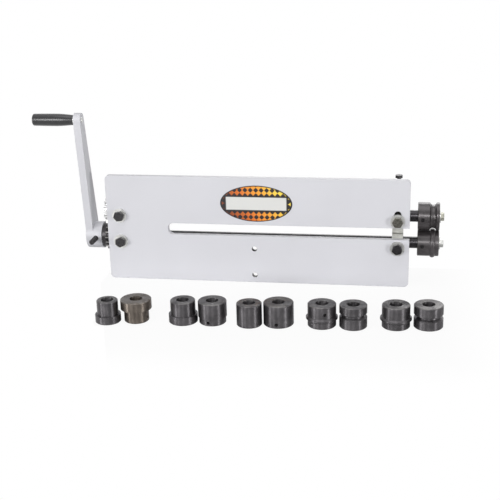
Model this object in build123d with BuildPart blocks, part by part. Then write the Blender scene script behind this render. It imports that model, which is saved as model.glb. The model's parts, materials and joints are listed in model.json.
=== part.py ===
"""Hand-cranked bench bead roller: a slotted steel plate carries two geared shafts with forming dies.

Millimetres. +X runs along the shafts from the crank to the dies, +Y away from the plate's front face,
+Z up. The origin is midway between the two mounting holes, on the plate's rear face.
"""

import os
from math import acos, cos, pi, radians, sin, tan

from build123d import *

os.makedirs("parts", exist_ok=True)

# ---- frame plate ----
plate_length = 577.0
plate_height = 206.5
plate_thick = 10.0
plate_corner_r = 8.0
throat_depth = 457.0
throat_height = 22.0
throat_corner_r = 9.5
throat_below_top = 92.0  # plate's top edge to the throat's top edge
mount_hole_d = 10.0
mount_hole_spacing = 52.5
mount_hole_from_left = 286.5
mount_hole_from_bottom = 15.0
edge_chamfer = 0.8

# ---- shafts and bearing blocks ----
shaft_d = 22.0
shaft_spacing = 52.0
shaft_behind_plate = 30.0  # plate's rear face to the shafts' axes
lower_shaft_below_throat = 38.7  # throat's top edge to the lower shaft's axis
shaft_chamfer = 1.2
rear_block_from_left = 25.0
front_block_from_right = 22.0
block_width = 20.0
block_gap = 1.0  # between the upper and lower blocks with the carriage down
block_depth = 52.0
block_chamfer = 1.2
bush_wall = 3.0

# ---- clearances ----
running_gap = 0.05  # radial, turning shaft in its bush or pin in its hole
seat_gap = 0.02  # radial, between pieces fixed to each other
slide_gap = 0.1  # between flat faces that slide on each other
end_float = 0.3  # along a shaft, between a turning face and a fixed one

# ---- bolts of the blocks ----
bolt_d = 12.0
bolt_head_flats = 18.0
bolt_head_h = 7.5
bolt_in_block = 13.0
washer_d = 27.5
washer_h = 2.5
head_turns = dict(pivot=10, guide=0, lower_rear=25, lower_front=20)  # degrees
head_bevel = 0.97  # bevel circle on top of a hex head, against its flats
notch_width = 13.0
notch_height = 32.7  # throat's top edge to the top of the notch

# ---- adjusting bolt ----
adjuster_d = 8.0
adjuster_head_flats = 13.0
adjuster_head_h = 5.3
adjuster_head_lift = 8.7  # block's top to the underside of the head
adjuster_block_width = 24.0
adjuster_block_depth = 42.0
adjuster_block_height = 18.0
adjuster_block_below_top = 14.0
adjuster_tip_gap = 0.3

# ---- gears ----
gear_teeth = 17
mesh_play = 1.0  # what the pitch circles stand apart
gear_pressure_angle = 20.0
gear_width = 15.0
gear_backlash = 0.2
gear_left_of_plate = 10.5  # how far the gears' outer face stands out past the plate's edge
gear_hub_d = 34.0
crank_side_hub_d = 46.0
crank_side_hub_length = 8.8
key_width = 6.0
key_height = 6.0
key_in_shaft = 3.5
key_top_gap = 0.3

# ---- shaft collars ----
collar_d = 36.0
collar_width = 14.0
small_screw_d = 6.0
small_screw_sunk = 1.0
small_screw_socket = 3.0

# ---- mounted dies ----
die_width = 40.0
die_from_plate = 14.5
lower_die_r = 24.8
rim_gap = 1.0  # between the two dies' rims with the carriage down
bead_from_back = 28.0
rib_width = 9.6
rib_height = 2.8
groove_width = 12.6
groove_depth = 4.6
die_chamfer = 1.0
die_screw_d = 8.0
die_screw_sunk = 3.5
die_screw_from_back = 9.0
die_screw_socket = 4.0

# ---- retaining bolt on each shaft's die end ----
end_bolt_d = 9.5
end_bolt_flats = 14.3
end_bolt_head_h = 6.4
end_bolt_length = 22.0
end_washer_d = 24.0
end_washer_h = 2.0

# ---- crank ----
crank_length = 239.0
crank_lean = 8.7  # degrees from upright, towards the front
arm_thick = 14.0
arm_root_width = 42.0
arm_tip_width = 23.0
tip_past_handle = 2.0  # the tip's round centre, past the handle's axis
arm_fillet = 1.5
boss_d = 52.0
boss_length = 17.7
boss_root_blend = 10.0
crank_screw_d = 10.0
crank_screw_out = 28.0
crank_screw_from_arm = 6.4
grip_length = 79.0
grip_inner_d = 18.8
grip_belly_d = 23.6
grip_belly_at = 36.0
grip_outer_d = 22.8
grip_end_chamfer = 2.2
grip_recess_depth = 7.0
axle_d = 10.0
axle_head_d = 14.0
axle_head_h = 5.0
axle_washer_d = 17.0
axle_washer_h = 1.6
axle_past_arm = 0.8

# ---- spare dies, standing on end in front ----
spare_width = 40.0
spare_chamfer = 1.2
spare_bead_width = 8.0
spare_bead_land = 0.35  # flat crest of a rib or floor of a groove, against its width
spare_screw_d = 6.0
row_from_plate = [217.0, 207.0, 204.0, 202.0, 207.0, 198.0, 197.0, 197.0, 190.0, 185.0]
row_from_left = [59.5, 108.5, 191.8, 243.6, 309.0, 358.8, 433.5, 487.0, 559.0, 613.5]

# ---- planes and lines worked out from the sizes above ----
x_left = -mount_hole_from_left
x_right = x_left + plate_length
y_front = -plate_thick
z_bottom = -mount_hole_spacing / 2 - mount_hole_from_bottom
z_top = z_bottom + plate_height
z_throat_top = z_top - throat_below_top
z_throat_bottom = z_throat_top - throat_height
x_throat_end = x_right - throat_depth
z_lower = z_throat_top - lower_shaft_below_throat
z_upper = z_lower + shaft_spacing
block_height = shaft_spacing - block_gap
upper_die_r = shaft_spacing - lower_die_r - rim_gap
gear_module = (shaft_spacing - mesh_play) / gear_teeth
y_shaft = shaft_behind_plate
shaft_r = shaft_d / 2
x_rear = x_left + rear_block_from_left
x_front = x_right - front_block_from_right
x_gear = x_left - gear_left_of_plate
x_crank_hub = x_gear - crank_side_hub_length
x_arm_inner = x_crank_hub - boss_length
x_arm_outer = x_arm_inner - arm_thick
x_die = x_right + die_from_plate
x_die_end = x_die + die_width
bush_r = shaft_r + running_gap + bush_wall
rear_face = x_rear - block_width / 2
gear_hub_length = rear_face - end_float - (x_gear + gear_width)
z_adjuster_top = z_top - adjuster_block_below_top
spare_bore = shaft_d + 2 * seat_gap


def save(part, name):
    """Label a finished piece and write it to its own file."""
    part.label = name
    export_step(part, f"parts/{name}.step")


def along_x(x, z):
    """A plane across a shaft's axis at x, facing +X."""
    return Plane(origin=(x, y_shaft, z), x_dir=(0, 1, 0), z_dir=(1, 0, 0))


def facing_front(x, y, z, x_dir=(1, 0, 0)):
    """A plane whose normal points out of the plate's front, -Y."""
    return Plane(origin=(x, y, z), x_dir=x_dir, z_dir=(0, -1, 0))


def shaft_axis(z):
    return Axis((0, y_shaft, z), (1, 0, 0))


# ---- frame plate ----
with BuildPart() as frame_plate:
    with BuildSketch(Plane.XZ):
        with Locations(((x_left + x_right) / 2, (z_bottom + z_top) / 2)):
            RectangleRounded(plate_length, plate_height, plate_corner_r)
        throat_open = throat_depth + plate_corner_r
        with Locations((x_throat_end + throat_open / 2, (z_throat_top + z_throat_bottom) / 2)):
            Rectangle(throat_open, throat_height, mode=Mode.SUBTRACT)
        notch_flat = notch_height - notch_width / 2
        with Locations((x_front, z_throat_top + notch_flat / 2)):
            Rectangle(notch_width, notch_flat, mode=Mode.SUBTRACT)
        with Locations((x_front, z_throat_top + notch_flat)):
            Circle(notch_width / 2, mode=Mode.SUBTRACT)
        with Locations((x_rear, z_upper)):
            Circle(bolt_d / 2 + running_gap, mode=Mode.SUBTRACT)
        with Locations((x_rear, z_lower), (x_front, z_lower)):
            Circle(bolt_d / 2 + seat_gap, mode=Mode.SUBTRACT)
        with GridLocations(0, mount_hole_spacing, 1, 2):
            Circle(mount_hole_d / 2, mode=Mode.SUBTRACT)
    extrude(amount=plate_thick)
    blind_end = frame_plate.edges().filter_by(Axis.Y).filter_by_position(
        Axis.X, x_throat_end - 1, x_throat_end + 1
    )
    fillet(blind_end, throat_corner_r)
    outline = frame_plate.faces().sort_by(Axis.Y)[0].outer_wire().edges()
    chamfer(outline, edge_chamfer)
save(frame_plate.part, "frame_plate")


# ---- bearing blocks, with a blind tapped hole for the bolt and a bore for the bush ----
def bearing_block(x, z, plate_gap):
    with BuildPart() as block:
        depth = block_depth - plate_gap
        with Locations((x, plate_gap + depth / 2, z)):
            Box(block_width, depth, block_height)
        chamfer(block.edges().filter_by(Axis.X), block_chamfer)
        with BuildSketch(along_x(x - block_width / 2, z)):
            Circle(bush_r + seat_gap)
        extrude(amount=block_width, mode=Mode.SUBTRACT)
        with BuildSketch(facing_front(x, bolt_in_block + end_float, z)):
            Circle(bolt_d / 2 + seat_gap)
        extrude(amount=bolt_in_block + end_float, mode=Mode.SUBTRACT)
    return block.part


def bush(x, z):
    with BuildPart() as sleeve:
        with BuildSketch(along_x(x - block_width / 2, z)):
            Circle(bush_r)
            Circle(shaft_r + running_gap, mode=Mode.SUBTRACT)
        extrude(amount=block_width)
    return sleeve.part


for place, x, z, gap in (
    ("upper_rear", x_rear, z_upper, slide_gap),
    ("upper_front", x_front, z_upper, slide_gap),
    ("lower_rear", x_rear, z_lower, 0),
    ("lower_front", x_front, z_lower, 0),
):
    save(bearing_block(x, z, gap), f"{place}_block")
    save(bush(x, z), f"{place}_bush")


# ---- fasteners ----
def washer(plane, outer_d, hole_d, thick):
    with BuildPart() as ring:
        with BuildSketch(plane):
            Circle(outer_d / 2)
            Circle(hole_d / 2 + seat_gap, mode=Mode.SUBTRACT)
        extrude(amount=thick)
    return ring.part


def hex_bolt(plane, shank_d, shank_length, flats, head_h, turn=0):
    """A bolt whose head stands on the plane and whose shank goes down from it."""
    with BuildPart() as bolt:
        with BuildSketch(plane):
            RegularPolygon(flats / 2, 6, major_radius=False, rotation=turn)
        extrude(amount=head_h)
        with BuildSketch(plane.offset(head_h)):
            Circle(flats / 2 * head_bevel)
        extrude(amount=-head_h, taper=-60, mode=Mode.INTERSECT)
        with BuildSketch(plane):
            Circle(shank_d / 2)
        extrude(amount=-shank_length)
        tip = bolt.faces().sort_by(Axis(plane.origin, plane.z_dir))[0]
        chamfer(tip.edges(), shank_d * 0.08)
    return bolt.part


def block_bolt(name, x, z, plate_gap):
    """The bolt and washer that hold a bearing block to the plate."""
    y_seat = y_front - plate_gap
    save(washer(facing_front(x, y_seat, z), washer_d, bolt_d, washer_h), f"{name}_washer")
    under_head = facing_front(x, y_seat - washer_h, z)
    shank = bolt_in_block - under_head.origin.Y
    bolt = hex_bolt(under_head, bolt_d, shank, bolt_head_flats, bolt_head_h, head_turns[name])
    save(bolt, f"{name}_bolt")


block_bolt("pivot", x_rear, z_upper, slide_gap)
block_bolt("guide", x_front, z_upper, slide_gap)
block_bolt("lower_rear", x_rear, z_lower, 0)
block_bolt("lower_front", x_front, z_lower, 0)

# ---- adjuster block on the plate's back and its bolt, which bears on the upper front block ----
with BuildPart() as adjuster_block:
    with Locations((x_front, adjuster_block_depth / 2, z_adjuster_top - adjuster_block_height / 2)):
        Box(adjuster_block_width, adjuster_block_depth, adjuster_block_height)
    chamfer(adjuster_block.faces().sort_by(Axis.Y)[-1].edges(), block_chamfer)
    with BuildSketch(Plane.XY.offset(z_adjuster_top)):
        with Locations((x_front, y_shaft)):
            Circle(adjuster_d / 2 + running_gap)
    extrude(amount=-adjuster_block_height, mode=Mode.SUBTRACT)
save(adjuster_block.part, "adjuster_block")

z_adjuster_seat = z_adjuster_top + adjuster_head_lift
z_block_top = z_upper + block_height / 2
adjusting_bolt = hex_bolt(
    Plane(origin=(x_front, y_shaft, z_adjuster_seat)),
    adjuster_d,
    z_adjuster_seat - z_block_top - adjuster_tip_gap,
    adjuster_head_flats,
    adjuster_head_h,
    turn=30,
)
save(adjusting_bolt, "adjusting_bolt")


# ---- shafts: keyed for the gear, tapped at the die end ----
def shaft(x_start, z):
    with BuildPart() as bar:
        with BuildSketch(along_x(x_start, z)):
            Circle(shaft_r)
        extrude(amount=x_die_end - x_start)
        ends = bar.edges().filter_by(GeomType.CIRCLE)
        chamfer(ends, shaft_chamfer)
        with BuildSketch(along_x(x_gear - seat_gap, z)):
            with Locations((0, shaft_r - key_in_shaft / 2 + 1)):
                Rectangle(key_width + 2 * seat_gap, key_in_shaft + 2)
        extrude(amount=gear_width + 2 * seat_gap, mode=Mode.SUBTRACT)
        with BuildSketch(along_x(x_die_end, z)):
            Circle(end_bolt_d / 2 + seat_gap)
        extrude(amount=-(end_bolt_length + end_float), mode=Mode.SUBTRACT)
    return bar.part


save(shaft(x_gear, z_upper), "upper_shaft")
save(shaft(x_arm_outer, z_lower), "lower_shaft")

# ---- gears ----
pitch_r = gear_module * gear_teeth / 2
base_r = pitch_r * cos(radians(gear_pressure_angle))
tip_r = pitch_r + gear_module
root_r = pitch_r - 1.25 * gear_module
flank_steps = 4


def half_tooth_angle(r):
    """Half the tooth's angle at radius r, from the involute of the base circle."""
    pressure = radians(gear_pressure_angle)
    at_r = acos(min(1.0, base_r / r))
    half_at_pitch = (pi * gear_module / 2 - gear_backlash) / (2 * pitch_r)
    return half_at_pitch + (tan(pressure) - pressure) - (tan(at_r) - at_r)


def tooth_point(r, side):
    angle = pi / 2 - side * half_tooth_angle(r)
    return (r * cos(angle), r * sin(angle))


flank_radii = [base_r + (tip_r - base_r) * i / flank_steps for i in range(flank_steps + 1)]
with BuildSketch() as tooth:
    with BuildLine():
        right = Spline(*[tooth_point(r, 1) for r in flank_radii])
        left = Spline(*[tooth_point(r, -1) for r in flank_radii])
        ThreePointArc(right @ 1, (0, tip_r), left @ 1)
        foot_r = root_r - 1
        foot_angle = half_tooth_angle(base_r)
        foot = (foot_r * sin(foot_angle), foot_r * cos(foot_angle))
        Polyline(right @ 0, foot, (-foot[0], foot[1]), left @ 0)
    make_face()


def gear(z, crank_side_hub):
    """A spur gear with a tooth pointing up, its hub towards the rear block and a keyway on top."""
    with BuildPart() as wheel:
        with BuildSketch(along_x(x_gear, z)):
            Circle(root_r)
            with PolarLocations(0, gear_teeth):
                add(tooth.sketch)
        extrude(amount=gear_width)
        with BuildSketch(along_x(x_gear + gear_width, z)):
            Circle(gear_hub_d / 2)
        extrude(amount=gear_hub_length)
        if crank_side_hub:
            with BuildSketch(along_x(x_gear, z)):
                Circle(crank_side_hub_d / 2)
            extrude(amount=-crank_side_hub_length)
            outer = wheel.edges().filter_by(GeomType.CIRCLE).group_by(Axis.X)[0]
            chamfer(outer, edge_chamfer)
        with BuildSketch(along_x(x_crank_hub, z)):
            Circle(shaft_r + seat_gap)
        extrude(amount=rear_face - x_crank_hub, mode=Mode.SUBTRACT)
        with BuildSketch(along_x(x_gear, z)):
            key_top = shaft_r - key_in_shaft + key_height + key_top_gap
            with Locations((0, key_top / 2)):
                Rectangle(key_width + 2 * seat_gap, key_top)
        extrude(amount=gear_width, mode=Mode.SUBTRACT)
        with BuildSketch(facing_front(x_gear + gear_width + gear_hub_length / 2, y_shaft, z)):
            Circle(small_screw_d / 2 + seat_gap)
        extrude(amount=gear_hub_d, mode=Mode.SUBTRACT)
    return wheel.part


def gear_key(z):
    with BuildPart() as key:
        with BuildSketch(along_x(x_gear + seat_gap, z)):
            with Locations((0, shaft_r - key_in_shaft + seat_gap + key_height / 2)):
                Rectangle(key_width, key_height)
        extrude(amount=gear_width - 2 * seat_gap)
    return key.part


def set_screw(x, z, diameter, reach, socket):
    """A grub screw from the shaft's surface out to the radius reach, on the shaft's front side."""
    with BuildPart() as grub:
        with BuildSketch(facing_front(x, y_shaft - shaft_r - seat_gap, z)):
            Circle(diameter / 2)
        extrude(amount=reach - shaft_r - seat_gap)
        with BuildSketch(facing_front(x, y_shaft - reach, z)):
            RegularPolygon(socket / 2, 6, major_radius=False)
        extrude(amount=-diameter * 0.4, mode=Mode.SUBTRACT)
    return grub.part


x_hub_screw = x_gear + gear_width + gear_hub_length / 2
hub_screw_reach = gear_hub_d / 2 - small_screw_sunk
save(gear(z_upper, False), "upper_gear")
save(gear(z_lower, True), "lower_gear")
for side, z in (("upper", z_upper), ("lower", z_lower)):
    save(gear_key(z), f"{side}_gear_key")
    hub_screw = set_screw(x_hub_screw, z, small_screw_d, hub_screw_reach, small_screw_socket)
    save(hub_screw, f"{side}_gear_set_screw")


# ---- shaft collars, inboard of the rear blocks ----
x_collar = x_rear + block_width / 2 + end_float


def shaft_collar(z):
    with BuildPart() as collar:
        with BuildSketch(along_x(x_collar, z)):
            Circle(collar_d / 2)
        extrude(amount=collar_width)
        chamfer(collar.edges().filter_by(GeomType.CIRCLE), edge_chamfer)
        with BuildSketch(along_x(x_collar, z)):
            Circle(shaft_r + seat_gap)
        extrude(amount=collar_width, mode=Mode.SUBTRACT)
        with BuildSketch(facing_front(x_collar + collar_width / 2, y_shaft, z)):
            Circle(small_screw_d / 2 + seat_gap)
        extrude(amount=collar_d, mode=Mode.SUBTRACT)
    return collar.part


collar_reach = collar_d / 2 - small_screw_sunk
for side, z in (("upper", z_upper), ("lower", z_lower)):
    save(shaft_collar(z), f"{side}_collar")
    screw = set_screw(x_collar + collar_width / 2, z, small_screw_d, collar_reach, small_screw_socket)
    save(screw, f"{side}_collar_screw")


# ---- mounted dies: a groove above, a rib below ----
def mounted_die(z, rim_r, bead_width, bead_rise):
    """A die on its shaft, with a rib where bead_rise is positive and a groove where it is negative."""
    with BuildPart() as die:
        with BuildSketch(Plane(origin=(x_die, y_shaft, z), x_dir=(1, 0, 0), z_dir=(0, -1, 0))):
            with BuildLine():
                bead = ThreePointArc(
                    (bead_from_back - bead_width / 2, rim_r),
                    (bead_from_back, rim_r + bead_rise),
                    (bead_from_back + bead_width / 2, rim_r),
                )
                bore_r = shaft_r + seat_gap
                Polyline(
                    bead @ 1,
                    (die_width - die_chamfer, rim_r),
                    (die_width, rim_r - die_chamfer),
                    (die_width, bore_r),
                    (0, bore_r),
                    (0, rim_r - die_chamfer),
                    (die_chamfer, rim_r),
                    bead @ 0,
                )
            make_face()
        revolve(axis=shaft_axis(z))
        with BuildSketch(facing_front(x_die + die_screw_from_back, y_shaft, z)):
            Circle(die_screw_d / 2 + seat_gap)
        extrude(amount=rim_r + 1, mode=Mode.SUBTRACT)
    return die.part


save(mounted_die(z_upper, upper_die_r, groove_width, -groove_depth), "upper_die")
save(mounted_die(z_lower, lower_die_r, rib_width, rib_height), "lower_die")
for side, z, rim_r in (("upper", z_upper, upper_die_r), ("lower", z_lower, lower_die_r)):
    screw = set_screw(x_die + die_screw_from_back, z, die_screw_d, rim_r - die_screw_sunk, die_screw_socket)
    save(screw, f"{side}_die_set_screw")
    save(washer(along_x(x_die_end, z), end_washer_d, end_bolt_d, end_washer_h), f"{side}_end_washer")
    end_bolt = hex_bolt(
        along_x(x_die_end + end_washer_h, z),
        end_bolt_d,
        end_bolt_length + end_washer_h,
        end_bolt_flats,
        end_bolt_head_h,
    )
    save(end_bolt, f"{side}_end_bolt")

# ---- crank: arm and boss in one piece, leaning towards the front ----
lean = radians(crank_lean)
arm_up = Vector(0, -sin(lean), cos(lean))
arm_side = Vector(0, cos(lean), sin(lean))
arm_plane = Plane(
    origin=(x_arm_outer, y_shaft, z_lower), x_dir=tuple(arm_side), z_dir=(1, 0, 0)
)
handle_centre = arm_plane.origin + arm_up * crank_length
crank_screw_plane = facing_front(x_arm_inner + crank_screw_from_arm, y_shaft, z_lower)

with BuildPart() as crank_arm:
    with BuildSketch(arm_plane) as arm_outline:
        with BuildLine():
            tip = CenterArc((0, crank_length + tip_past_handle), arm_tip_width / 2, 0, 180)
            Polyline(tip @ 0, (arm_root_width / 2, 0), (-arm_root_width / 2, 0), tip @ 1)
        make_face()
        Circle(boss_d / 2)
        fillet(arm_outline.vertices().group_by(Axis.Y)[-2], boss_root_blend)
    extrude(amount=arm_thick)
    with BuildSketch(arm_plane):
        Circle(boss_d / 2)
    extrude(amount=arm_thick + boss_length)
    fillet(crank_arm.faces().sort_by(Axis.X)[0].edges(), arm_fillet)
    with BuildSketch(arm_plane):
        Circle(shaft_r + seat_gap)
        with Locations((0, crank_length)):
            Circle(axle_d / 2 + seat_gap)
    extrude(amount=arm_thick + boss_length, mode=Mode.SUBTRACT)
    with BuildSketch(crank_screw_plane):
        Circle(crank_screw_d / 2 + seat_gap)
    extrude(amount=boss_d, mode=Mode.SUBTRACT)
save(crank_arm.part, "crank_arm")

with BuildPart() as crank_set_bolt:
    with BuildSketch(crank_screw_plane.offset(shaft_r + seat_gap)):
        Circle(crank_screw_d / 2)
    extrude(amount=boss_d / 2 + crank_screw_out - shaft_r)
    chamfer(crank_set_bolt.faces().sort_by(Axis.Y)[0].edges(), edge_chamfer)
save(crank_set_bolt.part, "crank_set_bolt")


# ---- handle: a grip that turns on a headed axle, whose far end is screwed into the arm ----
def at_handle(x):
    """A plane across the handle's axis at x, facing +X."""
    return Plane(origin=(x, handle_centre.Y, handle_centre.Z), x_dir=(0, 1, 0), z_dir=(1, 0, 0))


x_grip = x_arm_outer - axle_washer_h - end_float
x_grip_end = x_grip - grip_length
save(washer(at_handle(x_arm_outer - axle_washer_h), axle_washer_d, axle_d, axle_washer_h), "handle_washer")

with BuildPart() as handle_grip:
    grip_profile = Plane(
        origin=(x_grip, handle_centre.Y, handle_centre.Z), x_dir=(-1, 0, 0), z_dir=(0, 1, 0)
    )
    with BuildSketch(grip_profile):
        with BuildLine():
            recess_r = axle_head_d / 2 + end_float
            bore_r = axle_d / 2 + slide_gap
            Polyline(
                (0, grip_inner_d / 2),
                (grip_belly_at, grip_belly_d / 2),
                (grip_length - grip_end_chamfer, grip_outer_d / 2),
                (grip_length, grip_outer_d / 2 - grip_end_chamfer),
                (grip_length, recess_r),
                (grip_length - grip_recess_depth, recess_r),
                (grip_length - grip_recess_depth, bore_r),
                (0, bore_r),
                close=True,
            )
        make_face()
    revolve(axis=Axis((0, handle_centre.Y, handle_centre.Z), (1, 0, 0)))
save(handle_grip.part, "handle_grip")

with BuildPart() as handle_axle:
    x_head = x_grip_end + grip_recess_depth - end_float
    with BuildSketch(at_handle(x_head)):
        Circle(axle_head_d / 2)
    extrude(amount=-axle_head_h)
    chamfer(handle_axle.faces().sort_by(Axis.X)[0].edges(), edge_chamfer)
    with BuildSketch(at_handle(x_head)):
        Circle(axle_d / 2)
    extrude(amount=x_arm_inner + axle_past_arm - x_head)
    chamfer(handle_axle.faces().sort_by(Axis.X)[-1].edges(), axle_past_arm / 2)
save(handle_axle.part, "handle_axle")


# ---- spare dies: bored like the mounted ones, standing on end in front ----
def spare_die(x, y, steps, bead_rise=0.0, bead_at=0.0, screw_at=0.0, screw_turn=0.0):
    """A die of stacked (radius, height) steps, with a rib or groove round it where bead_rise isn't 0."""
    upright = Axis((x, y, z_bottom), (0, 0, 1))
    with BuildPart() as die:
        foot = z_bottom
        for radius, height in steps:
            with BuildSketch(Plane(origin=(x, y, foot))):
                Circle(radius)
            extrude(amount=height)
            foot += height
        rims = die.edges().filter_by(GeomType.CIRCLE).group_by(Axis.Z)
        chamfer(rims[0] + rims[-1], spare_chamfer)
        if bead_rise:
            rim_r = max(radius for radius, height in steps)
            root = spare_bead_width / 2
            land = root * spare_bead_land
            with BuildSketch(facing_front(x, y, z_bottom + bead_at)):
                with BuildLine():
                    crest_r = rim_r + bead_rise
                    inside_r = rim_r - bead_rise / abs(bead_rise)
                    Polyline(
                        (inside_r, root),
                        (rim_r, root),
                        (crest_r, land),
                        (crest_r, -land),
                        (rim_r, -root),
                        (inside_r, -root),
                        close=True,
                    )
                make_face()
            revolve(axis=upright, mode=Mode.ADD if bead_rise > 0 else Mode.SUBTRACT)
        with BuildSketch(Plane(origin=(x, y, z_bottom))):
            Circle(spare_bore / 2)
        extrude(amount=spare_width, mode=Mode.SUBTRACT)
        if screw_at:
            aim = radians(screw_turn)
            outward = (sin(aim), -cos(aim), 0)
            across = (cos(aim), sin(aim), 0)
            hole_plane = Plane(origin=(x, y, z_bottom + screw_at), x_dir=across, z_dir=outward)
            with BuildSketch(hole_plane):
                Circle(spare_screw_d / 2)
            extrude(amount=spare_width, mode=Mode.SUBTRACT)
    return die.part


spare_dies = {
    "spare_1_left": dict(steps=[(22.5, 14.0), (18.6, 26.0)], screw_at=32.0, screw_turn=-70.0),
    "spare_1_right": dict(steps=[(21.7, 23.0), (27.2, 17.0)], screw_at=9.0, screw_turn=80.0),
    "spare_2_left": dict(steps=[(25.3, 15.0), (21.8, 25.0)], screw_at=31.0, screw_turn=-80.0),
    "spare_2_right": dict(steps=[(23.5, 12.0), (25.0, 28.0)], screw_at=6.0, screw_turn=-9.0),
    "spare_3_left": dict(steps=[(22.0, spare_width)], screw_at=9.0, screw_turn=-75.0),
    "spare_3_right": dict(steps=[(26.2, spare_width)], screw_at=7.0, screw_turn=-1.0),
    "spare_4_left": dict(
        steps=[(24.5, spare_width)], bead_rise=2.8, bead_at=15.0, screw_at=27.0, screw_turn=17.0
    ),
    "spare_4_right": dict(
        steps=[(23.8, spare_width)], bead_rise=-4.0, bead_at=22.0, screw_at=8.0, screw_turn=80.0
    ),
    "spare_5_left": dict(
        steps=[(24.0, spare_width)], bead_rise=3.0, bead_at=15.0, screw_at=31.0, screw_turn=-80.0
    ),
    "spare_5_right": dict(
        steps=[(25.0, spare_width)], bead_rise=-5.0, bead_at=20.0, screw_at=33.0, screw_turn=85.0
    ),
}
for (name, shape), from_left, from_plate in zip(spare_dies.items(), row_from_left, row_from_plate):
    save(spare_die(x_left + from_left, y_front - from_plate, **shape), name)
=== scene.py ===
# %% [markdown]
# # Dressing a hand-cranked bead roller
#
# The machine is a slotted steel plate that carries two geared shafts. The solids come in ready made and in
# their places, in metres, so this lesson is about finishes, a few small shapes that solids leave out, and the
# light.

import json
import math

import bmesh
import bpy
import numpy as np
from mathutils import Matrix, Vector


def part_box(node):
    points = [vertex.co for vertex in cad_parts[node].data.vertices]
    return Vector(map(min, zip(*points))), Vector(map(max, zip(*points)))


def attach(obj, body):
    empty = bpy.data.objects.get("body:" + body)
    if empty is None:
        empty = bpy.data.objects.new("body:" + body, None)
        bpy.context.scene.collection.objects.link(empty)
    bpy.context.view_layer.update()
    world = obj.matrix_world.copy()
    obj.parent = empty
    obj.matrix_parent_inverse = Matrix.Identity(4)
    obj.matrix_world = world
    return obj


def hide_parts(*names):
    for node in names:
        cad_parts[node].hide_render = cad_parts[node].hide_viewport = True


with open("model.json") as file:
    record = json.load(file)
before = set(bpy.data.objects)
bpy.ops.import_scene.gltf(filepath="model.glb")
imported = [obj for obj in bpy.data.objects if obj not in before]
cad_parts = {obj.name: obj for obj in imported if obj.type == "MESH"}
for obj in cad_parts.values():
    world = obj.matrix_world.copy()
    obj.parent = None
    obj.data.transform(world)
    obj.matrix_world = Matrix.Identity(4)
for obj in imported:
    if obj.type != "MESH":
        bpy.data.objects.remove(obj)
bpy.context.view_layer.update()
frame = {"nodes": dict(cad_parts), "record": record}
nodes = frame["nodes"]
slots = {entry["node"]: entry["material_slot"] for entry in frame["record"]["subparts"]}
MM = 0.001

# %% [markdown]
# ## Shader maths as plain expressions
#
# A finish is a recipe in numbers: how far from the edge, how much grain, how worn. Wiring that by hand is long
# and hard to read, so one small class wraps a node's output. Adding or multiplying two of them adds the Math
# node, and one method makes any other node.


# %% The expression class
class Signal:
    """One output of a shader node."""

    def __init__(self, tree, socket=None):
        self.tree = tree
        self.socket = socket

    def node(self, kind, settings=None, sockets=None, output=0):
        """Any node: its type, its settings, then the values or links of its sockets."""
        made = self.tree.nodes.new("ShaderNode" + kind)
        for name, value in (settings or {}).items():
            if name == "stops":
                ramp = made.color_ramp
                while len(ramp.elements) < len(value):
                    ramp.elements.new(0.5)
                for element, (place, colour) in zip(ramp.elements, value):
                    element.position = place
                    element.color = colour
            else:
                setattr(made, name, value)
        for name, value in (sockets or {}).items():
            if isinstance(value, Signal):
                self.tree.links.new(value.socket, made.inputs[name])
            else:
                made.inputs[name].default_value = value
        return Signal(self.tree, made.outputs[output])

    def maths(self, operation, first, second=0.0):
        return self.node("Math", {"operation": operation}, {0: first, 1: second})

    def __add__(self, other):
        return self.maths("ADD", self, other)

    def __sub__(self, other):
        return self.maths("SUBTRACT", self, other)

    def __mul__(self, other):
        return self.maths("MULTIPLY", self, other)

    def __truediv__(self, other):
        return self.maths("DIVIDE", self, other)

    def __abs__(self):
        return self.maths("ABSOLUTE", self)

    def ramp(self, low, high, start=0.0, end=1.0):
        """Smoothly from start to end while the signal goes from low to high."""
        names = {"Value": self, "From Min": low, "From Max": high, "To Min": start, "To Max": end}
        return self.node("MapRange", {"interpolation_type": "SMOOTHSTEP"}, names)

    def mixed(self, first, second):
        """A colour: first where this mask is 0, second where it is 1."""
        return self.node("Mix", {"data_type": "RGBA"}, {0: self, 6: first, 7: second}, output=2)

    def grain(self, vector, scale, detail=3.0, rough=0.5):
        """Noise from 0 to 1 at a scale in features per metre."""
        sockets = {"Vector": vector, "Scale": scale, "Detail": detail, "Roughness": rough}
        return self.node("TexNoise", None, sockets)

    def parts(self, vector):
        """The three components of a vector."""
        split = self.node("SeparateXYZ", None, {0: vector}).socket.node
        return [Signal(self.tree, out) for out in split.outputs]


print("Signal class ready")

# %% [markdown]
# ## Helpers that every finish shares
#
# Each finish starts as a fresh material with the usual shader and the object's own coordinates, because those
# stay put when a piece moves. It ends with values or links on the shader's sockets, and most have a bump: a
# height that is too fine for geometry.


# %% The helpers
def rgb(red, green, blue):
    return (red, green, blue, 1.0)


def shade(colour, factor):
    """The colour made darker or lighter."""
    return rgb(*[channel * factor for channel in colour])


def distance(first, second):
    """How far a point lies from a centre, from its two offsets."""
    return first.maths("SQRT", first * first + second * second)


def finish_named(name):
    """A new material, a signal that makes its nodes, its shader and its object coordinates."""
    material = bpy.data.materials.new(name)
    material.use_nodes = True
    tree = material.node_tree
    start = Signal(tree)
    place = start.node("TexCoord", output=3)
    return material, start, tree.nodes["Principled BSDF"], place


def feed(shader, **channels):
    """Sets or links the shader's sockets, named with underscores for spaces."""
    for name, value in channels.items():
        socket = shader.inputs[name.replace("_", " ")]
        if isinstance(value, Signal):
            value.tree.links.new(value.socket, socket)
        else:
            socket.default_value = value


def bumped(start, height, depth, strength):
    """A Bump node fed by a height from 0 to 1, where depth is that height in metres."""
    return start.node("Bump", None, {"Strength": strength, "Distance": depth, "Height": height})


print("finish helpers ready")

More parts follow.
